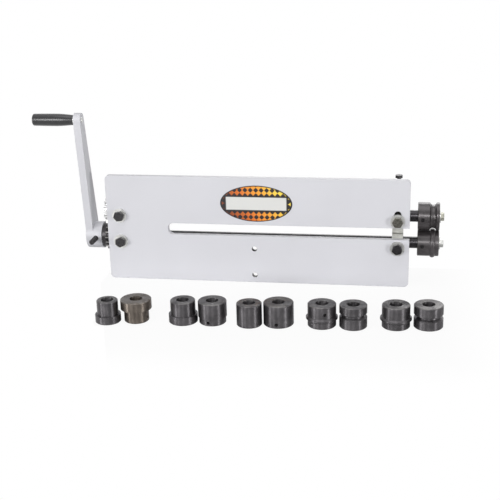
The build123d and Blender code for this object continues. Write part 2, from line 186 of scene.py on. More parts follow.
# %% [markdown]
# ## Grey powder coat
#
# The plate and the crank are steel, sprayed with powder and baked. Powder flows out into a faint orange peel,
# about a millimetre across. That is too fine for geometry, so it is a bump, and the colour drifts by a few
# percent over a hand's width. Round each bolt the paint is darkened in a flecked ring, as painted shade of
# the bolt heads, and the walls of the two mounting holes are painted near black, as painted shade in the holes.


# %% The paint
PEEL_SCALE = 900.0
PEEL_DEPTH = 0.04 * MM
DRIFT_SCALE = 9.0
SPECK_SCALE = 420.0
RING_SHADE_FLECK_SCALE = 160.0
# Near black for the mounting holes' walls: painted shade inside the holes.
HOLE_WALL_SHADE = rgb(0.030, 0.028, 0.027)
HOLE_RIM = (0.3 * MM, 0.1 * MM)


def grey_paint(name, colour, shaded=(), holes=()):
    """Rings of painted shade round bolts, (centre, inner, outer), and holes whose walls get painted shade,
    (centre, radius).
    """
    material, start, shader, place = finish_named(name)
    peel = start.grain(place, PEEL_SCALE, 2.0)
    drift = start.grain(place, DRIFT_SCALE, 2.0)
    specks = start.grain(place, SPECK_SCALE, 4.0, 0.7).ramp(0.66, 0.74)
    ring_shade_flecks = start.grain(place, RING_SHADE_FLECK_SCALE, 3.0).ramp(0.4, 0.65)
    x, _, z = start.parts(place)
    tone = drift.ramp(0.25, 0.75).mixed(shade(colour, 0.965), rgb(*colour))
    tone = (specks * 0.35).mixed(tone, shade(colour, 0.8))
    # Painted shade: a flecked, darker ring round each bolt head.
    for centre, inner, outer in shaded:
        ring_shade = distance(x - centre[0], z - centre[1]).ramp(outer, inner) * ring_shade_flecks
        tone = (ring_shade * 0.4).mixed(tone, shade(colour, 0.86))
    # The walls of each mounting hole are painted near black: painted shade inside the hole.
    for centre, radius in holes:
        hole_shade = distance(x - centre[0], z - centre[1]).ramp(radius + HOLE_RIM[0], radius + HOLE_RIM[1])
        tone = hole_shade.mixed(tone, HOLE_WALL_SHADE)
    rough = peel * 0.08 + drift * 0.06 + 0.38
    feed(shader, Base_Color=tone, Roughness=rough, Specular_IOR_Level=0.45)
    feed(shader, Normal=bumped(start, peel, PEEL_DEPTH, 0.5))
    return material


print("paint recipe ready")

# %% [markdown]
# ## Two coats of it
#
# The plate's coat has to know where the bolts and holes are. The bolts' centres are measured from their solids,
# and the two holes stand one above the other, with the origin midway. The crank's coat is plain.

# %% Mix the paints
PAINT = (0.655, 0.655, 0.69)
# Inner and outer radius of the ring of painted shade round each bolt.
RING_SHADE_FROM = 15.0 * MM
RING_SHADE_TO = 24.0 * MM
HOLE_R = 5.0 * MM
HOLE_SPACING = 52.5 * MM
rings = []
for bolt in ("pivot_bolt", "guide_bolt", "lower_rear_bolt", "lower_front_bolt"):
    low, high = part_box(bolt)
    rings.append((((low.x + high.x) / 2, (low.z + high.z) / 2), RING_SHADE_FROM, RING_SHADE_TO))
mounting_holes = [((0.0, HOLE_SPACING / 2), HOLE_R), ((0.0, -HOLE_SPACING / 2), HOLE_R)]
plate_paint = grey_paint("plate paint", PAINT, rings, mounting_holes)
crank_paint = grey_paint("crank paint", PAINT)
print("paint rubbed round", len(rings), "bolts")

# %% [markdown]
# ## Blackened turned steel
#
# The dies and shafts are turned on a lathe and then chemically blackened. The tool leaves very fine rings: lines
# round the outside and circles on the end faces. Distance from the axis plus distance along it makes both with
# one noise. The film rubs thin on the corners, where the steel shows through. The rings also stretch a highlight
# along the piece. The shader's own anisotropy does that round an upright axis, so the spare dies have it.

# %% The turned finish
RING_SCALE = 2600.0
RING_DEPTH = 0.05 * MM
WORN_STEEL = rgb(0.17, 0.165, 0.16)
WORN_FROM_END = (2.2 * MM, 0.4 * MM)


def turned_piece(node, axis, tint, shine, metal):
    """axis is 0 for a piece turned about X and 2 for one turned about Z; a lower shine is smoother."""
    material, start, shader, place = finish_named(node + " finish")
    low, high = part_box(node)
    middle = (low + high) / 2
    end = (high[axis] - low[axis]) / 2
    offsets = [coordinate - centre for coordinate, centre in zip(start.parts(place), middle)]
    across = [offset for i, offset in enumerate(offsets) if i != axis]
    cloud = start.grain(place, 70.0, 3.0, 0.6)
    fine = start.grain(place, 900.0, 2.0)
    run = offsets[axis] + distance(*across)
    ring_sockets = {"W": run, "Scale": RING_SCALE, "Detail": 2.0}
    turned = start.node("TexNoise", {"noise_dimensions": "1D"}, ring_sockets)
    near_end = abs(offsets[axis]).ramp(end - WORN_FROM_END[0], end - WORN_FROM_END[1])
    worn = near_end * cloud.ramp(0.35, 0.6) * 0.55
    tone = cloud.ramp(0.3, 0.7).mixed(shade(tint, 0.82), shade(tint, 1.2))
    tone = worn.mixed(tone, WORN_STEEL)
    rough = fine * 0.12 + cloud * 0.14 + (shine - 0.1) - worn * 0.1
    feed(shader, Base_Color=tone, Roughness=rough, Metallic=metal, Specular_IOR_Level=0.6)
    if axis == 2:
        feed(shader, Anisotropic=0.9, Anisotropic_Rotation=0.25)
    feed(shader, Normal=bumped(start, turned, RING_DEPTH, 0.6))
    return material


print("turned finish ready")

# %% [markdown]
# ## Teeth worn bright
#
# The lower gear is a turned blank too, but the other gear rubs its flanks and the very crests of its teeth. Both
# lie at known distances inside the gear's tip, so two ramps on the distance from the axis find them.

# %% The lower gear's finish
FLANK_INSIDE_TIP = (6.0 * MM, 3.5 * MM)
CREST_INSIDE_TIP = (0.7 * MM, 0.2 * MM)


def meshing_gear(node, tint):
    """A turned blank whose tooth flanks and crests are worn."""
    material = turned_piece(node, 0, tint, 0.30, 0.8)
    tree = material.node_tree
    shader = tree.nodes["Principled BSDF"]
    start = Signal(tree)
    place = start.node("TexCoord", output=3)
    low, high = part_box(node)
    middle = (low + high) / 2
    tip = (high.z - low.z) / 2
    _, y, z = start.parts(place)
    radius = distance(y - middle.y, z - middle.z)
    cloud = start.grain(place, 300.0, 3.0)
    blank = Signal(tree, shader.inputs["Base Color"].links[0].from_socket)
    flank = radius.ramp(tip - FLANK_INSIDE_TIP[0], tip - FLANK_INSIDE_TIP[1]) * cloud.ramp(0.3, 0.6) * 0.5
    crest = radius.ramp(tip - CREST_INSIDE_TIP[0], tip - CREST_INSIDE_TIP[1]) * 0.8
    tone = flank.mixed(blank, rgb(0.15, 0.145, 0.14))
    feed(shader, Base_Color=crest.mixed(tone, rgb(0.24, 0.235, 0.23)))
    return material


print("gear finish ready")

# %% [markdown]
# ## Black hardware
#
# The bolts and set screws are blackened too, but not turned to a shine. Spanners and keys rub the film into pale
# patches a millimetre or two across.


# %% The black hardware finish
def black_hardware():
    material, start, shader, place = finish_named("blackened hardware")
    cloud = start.grain(place, 150.0, 3.0, 0.6)
    patches = start.grain(place, 650.0, 5.0, 0.65).ramp(0.46, 0.70)
    fine = start.grain(place, 1500.0, 2.0)
    tone = cloud.ramp(0.3, 0.7).mixed(rgb(0.024, 0.023, 0.025), rgb(0.040, 0.038, 0.041))
    tone = (patches * 0.5).mixed(tone, rgb(0.20, 0.195, 0.19))
    rough = cloud * 0.14 + fine * 0.08 + 0.22 - patches * 0.04
    feed(shader, Base_Color=tone, Metallic=0.8, Roughness=rough)
    feed(shader, Normal=bumped(start, patches * 0.5 + fine * 0.5, 0.02 * MM, 0.5))
    return material


plain_black = black_hardware()
print("black hardware ready")

# %% [markdown]
# ## One recipe for zinc plate, bronze and bare steel
#
# Zinc on washers and bolts is bright and slightly cloudy. A chromate dip turns it olive on the blocks and on two
# bolts. The bushes are bronze, and the upper gear is bare machined steel. All are metals with a soft cloud in
# colour and roughness, so one recipe with two tints makes them. It can also paint near-black shade on a
# piece's front face above a given height.


# %% The bare metals
def plain_metal(name, dark, light, rough, scale=160.0, metallic=1.0, painted_shade=None):
    """dark and light are the cloud's two tints; the last argument gives (front face's y, lowest z) of the painted
    shade.
    """
    material, start, shader, place = finish_named(name)
    cloud = start.grain(place, scale, 3.0, 0.6)
    fine = start.grain(place, scale * 9.0, 2.0)
    stretched = start.node("Mapping", None, {"Vector": place, "Scale": (30.0, 30.0, 900.0)})
    brushed = start.grain(stretched, 1.0, 4.0, 0.7)
    tone = cloud.ramp(0.3, 0.7).mixed(rgb(*dark), rgb(*light))
    if painted_shade:
        # Above the given height the front face is painted near black: painted shade.
        front, height = painted_shade
        _, y, z = start.parts(place)
        notch_shade_mask = y.ramp(front + 3 * MM, front + MM) * z.ramp(height, height + 3 * MM)
        tone = notch_shade_mask.mixed(tone, rgb(0.020, 0.019, 0.018))
    rough = cloud * 0.16 + fine * 0.08 + (rough - 0.1)
    feed(shader, Base_Color=tone, Metallic=metallic, Roughness=rough)
    feed(shader, Normal=bumped(start, brushed * 0.3 + fine * 0.5, 0.03 * MM, 0.4))
    return material


print("metal recipe ready")

# %% [markdown]
# ## The metals of this machine
#
# Only the tints, the roughness, the size of the cloud and the share of bare metal differ. The upper front block
# gets painted shade, near black, on the face that the plate's notch shows above the guide bolt.

# %% Mix the metals
BLOCK_TINTS = ((0.44, 0.44, 0.41), (0.58, 0.58, 0.54))
# The painted shade on the upper front block starts this far above the guide bolt's middle.
NOTCH_SHADE_ABOVE_BOLT = 9.0 * MM
low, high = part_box("guide_bolt")
notch_shade_place = (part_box("upper_front_block")[0].y, (low.z + high.z) / 2 + NOTCH_SHADE_ABOVE_BOLT)
bright_zinc = plain_metal("bright zinc", (0.50, 0.50, 0.49), (0.68, 0.68, 0.66), 0.38)
block_zinc = plain_metal("chromated block", *BLOCK_TINTS, 0.45, 120.0, 0.6)
notch_shaded_block = plain_metal("shadowed block", *BLOCK_TINTS, 0.45, 120.0, 0.6, notch_shade_place)
olive_zinc = plain_metal("olive chromate", (0.050, 0.048, 0.040), (0.170, 0.163, 0.140), 0.34, 380.0, 0.6)
pale_olive = plain_metal("pale olive chromate", (0.36, 0.36, 0.31), (0.50, 0.49, 0.42), 0.4, 220.0, 0.7)
bronze = plain_metal("sintered bronze", (0.42, 0.25, 0.10), (0.56, 0.36, 0.16), 0.45, 400.0)
gear_steel = plain_metal("machined steel", (0.55, 0.55, 0.55), (0.70, 0.70, 0.70), 0.36, 200.0)
print("grease begins", round(notch_shade_place[1] / MM, 1), "mm above the origin")

# %% [markdown]
# ## Grip plastic
#
# The grip is shiny black plastic from a mould, with a faint haze from hands, so mostly the roughness varies and
# the bump is very small.


# %% The grip's plastic
def grip_plastic():
    material, start, shader, place = finish_named("grip plastic")
    haze = start.grain(place, 120.0, 4.0, 0.6)
    fine = start.grain(place, 1500.0, 2.0)
    tone = haze.ramp(0.3, 0.7).mixed(rgb(0.010, 0.010, 0.012), rgb(0.018, 0.018, 0.020))
    feed(shader, Base_Color=tone, Roughness=haze.ramp(0.3, 0.75, 0.20, 0.30), Specular_IOR_Level=0.2)
    feed(shader, Coat_Weight=0.8, Coat_Roughness=0.25)
    feed(shader, Normal=bumped(start, fine, 0.01 * MM, 0.12))
    return material


grip_black = grip_plastic()
print("grip plastic ready")

# %% [markdown]
# ## Finishes go on the solids
#
# Each solid names a material slot in its record. Turned pieces get a finish of their own, because the rings have
# to be centred on their axis. The spare dies are paler than the shafts, one of them browner, and the two mounted
# dies have a duller, more worn film.

# %% Assign every finish
by_slot = {
    "frame_paint": plate_paint,
    "black_oxide_steel": plain_black,
    "bright_zinc_steel": bright_zinc,
    "olive_zinc_steel": block_zinc,
    "bare_steel": gear_steel,
    "bronze": bronze,
    "black_grip": grip_black,
}
GUNMETAL = (0.095, 0.090, 0.095)
BROWNED = (0.135, 0.115, 0.098)
OILED_BLACK = (0.036, 0.034, 0.037)
DULL_BLACK = (0.062, 0.056, 0.058)
special = {
    "crank_arm": crank_paint,
    "guide_bolt": olive_zinc,
    "upper_end_bolt": pale_olive,
    # The upper front block's face behind the notch carries painted shade.
    "upper_front_block": notch_shaded_block,
    "lower_gear": meshing_gear("lower_gear", OILED_BLACK),
    "upper_die": turned_piece("upper_die", 0, DULL_BLACK, 0.26, 0.5),
    "lower_die": turned_piece("lower_die", 0, DULL_BLACK, 0.28, 0.4),
}
for name in ("upper_shaft", "lower_shaft", "upper_collar", "lower_collar"):
    special[name] = turned_piece(name, 0, OILED_BLACK, 0.24, 0.8)
for name in nodes:
    if name.startswith("spare_"):
        tint = BROWNED if name == "spare_1_right" else GUNMETAL
        special[name] = turned_piece(name, 2, tint, 0.33, 0.85)
for name, solid in nodes.items():
    solid.data.materials.clear()
    solid.data.materials.append(special.get(name, by_slot[slots[name]]))
print(len(special), "solids with a finish of their own,", len(nodes) - len(special), "by slot")

# %% [markdown]
# ## Geometry trees in short
#
# Two things on this machine repeat along a line: the turns of a screw thread and the ripples of a weld bead.
# Geometry Nodes make both. Their trees begin the same way, with named inputs for the sizes and the finish, and
# end the same way, with real geometry in that finish, so helpers write those parts.


# %% Tree helpers
def linked(tree, kind, sockets, settings=None):
    """A node with its sockets and settings; a value that is a socket is linked."""
    made = tree.nodes.new(kind)
    for name, value in (settings or {}).items():
        setattr(made, name, value)
    for name, value in sockets.items():
        if isinstance(value, bpy.types.NodeSocket):
            tree.links.new(value, made.inputs[name])
        else:
            made.inputs[name].default_value = value
    return made


def number(tree, operation, first, second):
    return linked(tree, "ShaderNodeMath", {0: first, 1: second}, {"operation": operation}).outputs[0]


def vector(tree, **components):
    return linked(tree, "ShaderNodeCombineXYZ", components).outputs[0]


def begun_tree(name, sizes):
    """A tree with an input for each size, whole or not, and one for the finish; and its inputs' sockets."""
    tree = bpy.data.node_groups.new(name, "GeometryNodeTree")
    for label, value in sizes.items():
        kind = "NodeSocketInt" if isinstance(value, int) else "NodeSocketFloat"
        socket = tree.interface.new_socket(name=label, in_out="INPUT", socket_type=kind)
        socket.default_value = value
    tree.interface.new_socket(name="Finish", in_out="INPUT", socket_type="NodeSocketMaterial")
    tree.interface.new_socket(name="Geometry", in_out="OUTPUT", socket_type="NodeSocketGeometry")
    return tree, tree.nodes.new("NodeGroupInput").outputs


def end_tree(tree, geometry, finish):
    """Makes instances real, gives them the finish and sends them out."""
    real = linked(tree, "GeometryNodeRealizeInstances", {"Geometry": geometry})
    dressed = linked(tree, "GeometryNodeSetMaterial", {"Geometry": real.outputs[0], "Material": finish})
    result = tree.nodes.new("NodeGroupOutput")
    tree.links.new(dressed.outputs[0], result.inputs[0])


print("tree helpers ready")

# %% [markdown]
# ## Screw threads by Geometry Nodes
#
# A solid bolt is a plain cylinder at the thread's outer size. A real thread is a ridge that climbs a thinner
# core. A spiral curve swept with a small diamond makes the ridge for any diameter, pitch and length, so the tree
# takes those three as inputs.


# %% A tree that makes a threaded rod
STEPS_PER_TURN = 28
CORE_SIDES = 32
CORE_SINK = 0.08  # of the pitch, from the diamond's middle down to the core


def threaded_rod_tree():
    tree, given = begun_tree("threaded rod", {"Radius": 4.0 * MM, "Pitch": 1.25 * MM, "Length": 50.0 * MM})
    pitch, length = given["Pitch"], given["Length"]
    tooth = number(tree, "MULTIPLY", pitch, 0.5)
    ridge = number(tree, "SUBTRACT", given["Radius"], tooth)
    core = number(tree, "SUBTRACT", ridge, number(tree, "MULTIPLY", pitch, CORE_SINK))
    run = number(tree, "SUBTRACT", length, pitch)
    spiral_sizes = {"Resolution": STEPS_PER_TURN, "Rotations": number(tree, "DIVIDE", run, pitch)}
    spiral_sizes.update({"Start Radius": ridge, "End Radius": ridge, "Height": run})
    spiral = linked(tree, "GeometryNodeCurveSpiral", spiral_sizes)
    diamond = linked(tree, "GeometryNodeCurvePrimitiveCircle", {"Resolution": 4, "Radius": tooth})
    path = {"Curve": spiral.outputs[0], "Profile Curve": diamond.outputs[0], "Fill Caps": True}
    sweep = linked(tree, "GeometryNodeCurveToMesh", path)
    lift = vector(tree, Z=tooth)
    thread = linked(tree, "GeometryNodeTransform", {"Geometry": sweep.outputs[0], "Translation": lift})
    core_sizes = {"Vertices": CORE_SIDES, "Radius": core, "Depth": length}
    rod = linked(tree, "GeometryNodeMeshCylinder", core_sizes)
    lift = vector(tree, Z=number(tree, "MULTIPLY", length, 0.5))
    rod = linked(tree, "GeometryNodeTransform", {"Geometry": rod.outputs[0], "Translation": lift})
    both = tree.nodes.new("GeometryNodeJoinGeometry")
    tree.links.new(thread.outputs[0], both.inputs[0])
    tree.links.new(rod.outputs[0], both.inputs[0])
    end_tree(tree, both.outputs[0], given["Finish"])
    return tree


rod_tree = threaded_rod_tree()
print("threaded rod tree has", len(rod_tree.nodes), "nodes")

# %% [markdown]
# ## From a tree to a piece
#
# A tree only works on an object that carries it. So a carrier object runs the tree, its result is kept as a
# plain mesh, and the carrier goes again. The mesh is then moved to its real place, while its object stays at the
# origin and rides on one of the machine's bodies.


# %% Grow, smooth and place a mesh
def grown(name, tree, values):
    """Runs a geometry tree with the given inputs and returns its result as a plain mesh."""
    carrier = bpy.data.objects.new(name + " carrier", bpy.data.meshes.new(name))
    bpy.context.scene.collection.objects.link(carrier)
    modifier = carrier.modifiers.new("grow", "NODES")
    modifier.node_group = tree
    for item in tree.interface.items_tree:
        if item.in_out == "INPUT" and item.name in values:
            modifier[item.identifier] = values[item.name]
    bpy.context.view_layer.update()
    result = carrier.evaluated_get(bpy.context.evaluated_depsgraph_get())
    mesh = bpy.data.meshes.new_from_object(result)
    mesh.name = name
    bpy.data.objects.remove(carrier)
    return mesh


def smoothed(mesh, sharp_from=30.0):
    """Smooth shading, but for edges sharper than the angle in degrees."""
    mesh.polygons.foreach_set("use_smooth", [True] * len(mesh.polygons))
    mesh.set_sharp_from_angle(angle=math.radians(sharp_from))


def placed(name, mesh, body):
    """An object at the origin that carries the mesh and rides on a body."""
    piece = bpy.data.objects.new(name, mesh)
    bpy.context.scene.collection.objects.link(piece)
    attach(piece, body)
    return piece


print("piece helpers ready")

# %% [markdown]
# ## The crank's long set bolt
#
# A black bolt pins the crank's boss to the shaft and sticks out in front. Its solid gives the line: the long
# direction of its corner points. The threaded rod replaces it along that line, at the same size.

# %% Thread the crank bolt
CRANK_BOLT_PITCH = 1.5 * MM
points = np.array([corner.co for corner in nodes["crank_set_bolt"].data.vertices])
middle = points.mean(axis=0)
along = np.linalg.svd(points - middle, full_matrices=False)[2][0]
along = along * -np.sign(along[1])
reach = (points - middle) @ along
inner_end = Vector(middle + along * reach.min())
outer_end = Vector(middle + along * reach.max())
line = outer_end - inner_end
bolt_sizes = {
    "Radius": float(points[:, 0].max() - points[:, 0].min()) / 2,
    "Pitch": CRANK_BOLT_PITCH,
    "Length": line.length,
    "Finish": plain_black,
}
rod = grown("crank_bolt", rod_tree, bolt_sizes)
upright_to_line = line.normalized().to_track_quat("Z", "Y").to_matrix().to_4x4()
rod.transform(Matrix.Translation(inner_end) @ upright_to_line)
crank_bolt = placed("crank_bolt", rod, "lower_spindle")
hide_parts("crank_set_bolt")
print("crank bolt", round(line.length / MM, 1), "mm long,", len(rod.polygons), "faces")

# %% [markdown]
# ## The adjusting bolt's two halves
#
# Its hexagon head comes from the solid: in a copy of the mesh the points below the seat go, and the round hole
# that is left is closed. The shank below is a threaded rod of the same size, as the real bolt is threaded all
# the way. Then the two are made one mesh.


# %% Cut off a head, join meshes
def copy_above(node, height):
    """A merged copy of a solid's mesh, with all that is below the height left out and the hole closed."""
    shape = bmesh.new()
    shape.from_mesh(nodes[node].data)
    bmesh.ops.remove_doubles(shape, verts=shape.verts, dist=1e-6)
    bmesh.ops.dissolve_degenerate(shape, edges=shape.edges, dist=1e-7)
    below = [point for point in shape.verts if point.co.z < height - 0.01 * MM]
    bmesh.ops.delete(shape, geom=below, context="VERTS")
    rim = [edge for edge in shape.edges if edge.is_boundary]
    bmesh.ops.holes_fill(shape, edges=rim)
    bmesh.ops.recalc_face_normals(shape, faces=shape.faces)
    mesh = bpy.data.meshes.new(node + " head")
    shape.to_mesh(mesh)
    shape.free()
    print("head closed over", len(rim), "edges")
    return mesh


def joined(name, meshes, finish):
    """Several meshes as one, all in one finish."""
    whole = bmesh.new()
    for mesh in meshes:
        whole.from_mesh(mesh)
    result = bpy.data.meshes.new(name)
    whole.to_mesh(result)
    whole.free()
    result.materials.append(finish)
    return result


print("cutting and joining ready")

# %% [markdown]
# ## The adjusting bolt
#
# The seat lies one head's height below the bolt's top, and the bolt's place and length come from the solid's box.

# %% Thread the adjusting bolt
HEAD_HEIGHT = 5.3 * MM
ADJUSTER_R = 4.0 * MM
ADJUSTER_PITCH = 1.25 * MM
low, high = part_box("adjusting_bolt")
seat = high.z - HEAD_HEIGHT
shank_sizes = {"Radius": ADJUSTER_R, "Pitch": ADJUSTER_PITCH, "Length": seat - low.z, "Finish": plain_black}
shank = grown("adjusting shank", rod_tree, shank_sizes)
shank.transform(Matrix.Translation(((low.x + high.x) / 2, (low.y + high.y) / 2, low.z)))
screw = joined("adjusting_screw", [copy_above("adjusting_bolt", seat), shank], plain_black)
adjusting_screw = placed("adjusting_screw", screw, "adjuster")
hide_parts("adjusting_bolt")
print("adjusting screw has", len(screw.polygons), "faces")

# %% [markdown]
# ## A skin over rings of points
#
# The grip and the sticker are both made from rings of points with the same count in each. One helper lays faces
# from ring to ring. It either joins the last ring to the first, as in a tube, or closes both ends with a cap.


# %% The skin helper
def skin(name, rings, closed):
    """A mesh over rings of points, closed on itself or capped at both ends."""
    shape = bmesh.new()
    rows = [[shape.verts.new(point) for point in ring] for ring in rings]
    pairs = list(zip(rows, rows[1:]))
    if closed:
        pairs.append((rows[-1], rows[0]))
    for row, following in pairs:
        for i in range(len(row)):
            j = (i + 1) % len(row)
            shape.faces.new((row[i], row[j], following[j], following[i]))
    if not closed:
        shape.faces.new(rows[-1])
        shape.faces.new(rows[0][::-1])
    bmesh.ops.recalc_face_normals(shape, faces=shape.faces)
    mesh = bpy.data.meshes.new(name)
    shape.to_mesh(mesh)
    shape.free()
    return mesh


print("skin helper ready")

# %% [markdown]
# ## The grip's outline
#
# The solid grip is two straight tapers. A moulded grip swells in one smooth curve, thin at the arm, fullest
# before the middle, and round at its free end, where a recess takes the axle's head. The curve is worked out
# point by point, as distance from the arm and radius.

# %% Draw the outline
ROOT_R = 9.4 * MM
BELLY_R = 11.8 * MM
TIP_R = 11.4 * MM
BELLY_AT = 36.0 * MM
TIP_ROUND = 2.2 * MM
RECESS_R = 7.3 * MM
RECESS_DEPTH = 7.0 * MM
BORE_R = 5.1 * MM
ROOT_STEPS = 24
TIP_STEPS = 16
ROUND_STEPS = 8
low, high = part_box("handle_grip")
grip_length = high.x - low.x
outline = []
for i in range(ROOT_STEPS + 1):
    part = i / ROOT_STEPS
    outline.append((BELLY_AT * part, ROOT_R + (BELLY_R - ROOT_R) * math.sin(part * math.pi / 2)))
tip_run = grip_length - TIP_ROUND - BELLY_AT
for i in range(1, TIP_STEPS + 1):
    part = i / TIP_STEPS
    outline.append((BELLY_AT + tip_run * part, BELLY_R - (BELLY_R - TIP_R) * part * part))
for i in range(1, ROUND_STEPS + 1):
    angle = i / ROUND_STEPS * math.pi / 2
    back = TIP_ROUND * (1 - math.sin(angle))
    inwards = TIP_ROUND * (1 - math.cos(angle))
    outline.append((grip_length - back, TIP_R - inwards))
recess_floor = grip_length - RECESS_DEPTH
outline += [(grip_length, RECESS_R), (recess_floor, RECESS_R), (recess_floor, BORE_R), (0.0, BORE_R)]
print("grip outline has", len(outline), "points over", round(grip_length / MM, 1), "mm")

# %% [markdown]
# ## The grip
#
# The outline is turned about the axle's line, which runs along X away from the arm. Between the solid's straight
# tapers and this curve lies half a millimetre at most. Both ends, the bore and the recess keep the solid's
# sizes, so nothing new can touch the arm or the axle.

# %% Turn the grip
GRIP_SIDES = 96
axle_y = (low.y + high.y) / 2
axle_z = (low.z + high.z) / 2
turned_rings = []
for i in range(GRIP_SIDES):
    angle = 2 * math.pi * i / GRIP_SIDES
    y, z = math.cos(angle), math.sin(angle)
    turned_rings.append([(high.x - run, axle_y + radius * y, axle_z + radius * z) for run, radius in outline])
grip = skin("moulded_grip", turned_rings, closed=True)
smoothed(grip)
grip.materials.append(grip_black)
moulded_grip = placed("moulded_grip", grip, "grip")
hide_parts("handle_grip")
print("grip has", len(grip.polygons), "faces")

# %% [markdown]
# ## Weld beads behind the plate
#
# The adjuster's block is welded to the plate's back along its top and bottom edges. A weld bead is a row of
# overlapping ripples, which is a repeat along a line, so Geometry Nodes set a small flattened sphere at every
# step, each a little different.

# %% A tree that lays a weld bead
RIPPLE_REACH = 0.95  # of a step, so that ripples overlap by nearly half
RIPPLE_LEAST = (0.9, 0.85, 0.85)
RIPPLE_MOST = (1.1, 1.1, 1.1)
RIPPLE_SEED = 7


def weld_tree():
    tree, given = begun_tree("weld bead", {"Length": 20.0 * MM, "Width": 4.0 * MM, "Steps": 12})
    step = number(tree, "DIVIDE", given["Length"], given["Steps"])
    line_sizes = {"Count": given["Steps"], "Offset": vector(tree, X=step)}
    row = linked(tree, "GeometryNodeMeshLine", line_sizes)
    drop = linked(tree, "GeometryNodeMeshUVSphere", {"Segments": 16, "Rings": 10, "Radius": 1.0})
    height = number(tree, "MULTIPLY", given["Width"], 0.5)
    size = vector(tree, X=number(tree, "MULTIPLY", step, RIPPLE_REACH), Y=height, Z=height)
    spread = {0: RIPPLE_LEAST, 1: RIPPLE_MOST, "Seed": RIPPLE_SEED}
    wobble = linked(tree, "FunctionNodeRandomValue", spread, {"data_type": "FLOAT_VECTOR"})
    factors = {0: size, 1: wobble.outputs[0]}
    varied = linked(tree, "ShaderNodeVectorMath", factors, {"operation": "MULTIPLY"})
    ripple = {"Points": row.outputs[0], "Instance": drop.outputs[0], "Scale": varied.outputs[0]}
    ripples = linked(tree, "GeometryNodeInstanceOnPoints", ripple)
    end_tree(tree, ripples.outputs[0], given["Finish"])
    return tree


bead_tree = weld_tree()
print("weld bead tree has", len(bead_tree.nodes), "nodes")

# %% [markdown]
# ## Two beads
#
# Each bead runs the whole width of the block. Its middle lies along the block's edge, just off the plate, so that
# about a quarter of it shows.

# %% Lay the beads
BEAD_WIDTH = 5.0 * MM
BEAD_STEP = 1.6 * MM
BEAD_OFF_PLATE = 0.4 * MM
low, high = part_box("adjuster_block")
bead_sizes = {
    "Length": high.x - low.x,
    "Width": BEAD_WIDTH,
    "Steps": int((high.x - low.x) / BEAD_STEP),
    "Finish": plate_paint,
}
for name, z in (("weld_top", high.z), ("weld_bottom", low.z)):
    bead = grown(name, bead_tree, bead_sizes)
    smoothed(bead, 60.0)
    bead.transform(Matrix.Translation((low.x + BEAD_STEP / 2, low.y + BEAD_OFF_PLATE, z)))
    placed(name, bead, "frame")
print(bead_sizes["Steps"], "ripples in each weld bead")

# %% [markdown]
# ## The oval sticker's shape
#
# The plate wears an oval sticker. It is a thin slab with a rounded rim: four ovals before the plate's face, with
# a skin over them and a cap at each end.

# %% Make the sticker
STICKER_CENTRE = Vector((5.2, 0.0, 115.4)) * MM
STICKER_HALF = (68.5 * MM, 35.0 * MM)
STICKER_THICK = 0.35 * MM
RIM_EASED = 0.2 * MM
RIM_FROM = 0.7  # of the thickness
OVAL_POINTS = 128
plate_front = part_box("frame_plate")[0].y


def oval(half_x, half_z, depth):
    """Points round an oval about the sticker's centre, at a depth before the plate."""
    points = []
    for i in range(OVAL_POINTS):
        angle = 2 * math.pi * i / OVAL_POINTS
        x = STICKER_CENTRE.x + half_x * math.cos(angle)
        z = STICKER_CENTRE.z + half_z * math.sin(angle)
        points.append((x, plate_front - depth, z))
    return points


half_x, half_z = STICKER_HALF
ovals = [
    oval(half_x, half_z, 0.0),
    oval(half_x, half_z, STICKER_THICK * RIM_FROM),
    oval(half_x - RIM_EASED, half_z - RIM_EASED, STICKER_THICK),
    oval(half_x / 2, half_z / 2, STICKER_THICK),
]
sticker = skin("oval_sticker", ovals, closed=False)
print("sticker", round(half_x * 2 / MM), "by", round(half_z * 2 / MM), "mm")

# %% [markdown]
# ## The sticker's print
#
# The print is plain decoration: a black oval with a lattice of lozenges that go from dark red to yellow, behind
# a pale band. Two sets of slanting waves cross to make the lozenges. All is worked out from the piece's own
# coordinates, u across and v up, both 1 at the rim, so it stays put from every side.

# %% Print and place it
LATTICE_PITCH = 21.0
LATTICE_SLANT = 0.5
INK_BLACK = rgb(0.014, 0.011, 0.012)
BAND_PALE = rgb(0.70, 0.70, 0.68)
WARM_STOPS = [
    (0.0, rgb(0.16, 0.03, 0.01)),
    (0.35, rgb(0.72, 0.17, 0.02)),
    (0.65, rgb(0.93, 0.40, 0.04)),
    (0.9, rgb(0.97, 0.72, 0.09)),
]


def sticker_print():
    material, start, shader, place = finish_named("sticker print")
    x, _, z = start.parts(place)
    u = (x - STICKER_CENTRE.x) / STICKER_HALF[0]
    v = (z - STICKER_CENTRE.z) / STICKER_HALF[1]
    rising = start.maths("SINE", (u + v * LATTICE_SLANT) * LATTICE_PITCH)
    falling = start.maths("SINE", (u - v * LATTICE_SLANT) * LATTICE_PITCH)
    lozenges = (rising * falling).ramp(-0.12, 0.05)
    warm = start.node("ValToRGB", {"stops": WARM_STOPS}, {0: u * 0.5 + v * 0.12 + 0.5})
    colour = lozenges.mixed(INK_BLACK, warm)
    keyline = abs(v).ramp(0.46, 0.43) * abs(u).ramp(0.90, 0.87)
    band = abs(v).ramp(0.37, 0.34) * abs(u).ramp(0.85, 0.82)
    colour = keyline.mixed(colour, INK_BLACK)
    colour = band.mixed(colour, BAND_PALE)
    colour = distance(u, v).ramp(0.94, 0.965).mixed(colour, INK_BLACK)
    haze = start.grain(place, 300.0, 3.0)
    feed(shader, Base_Color=colour, Roughness=haze * 0.15 + 0.30, Coat_Weight=0.1, Coat_Roughness=0.2)
    feed(shader, Normal=bumped(start, haze, 0.01 * MM, 0.3))
    return material


sticker.materials.append(sticker_print())
placed("oval_sticker", sticker, "frame")
print("print has", len(sticker.materials[0].node_tree.nodes), "nodes")

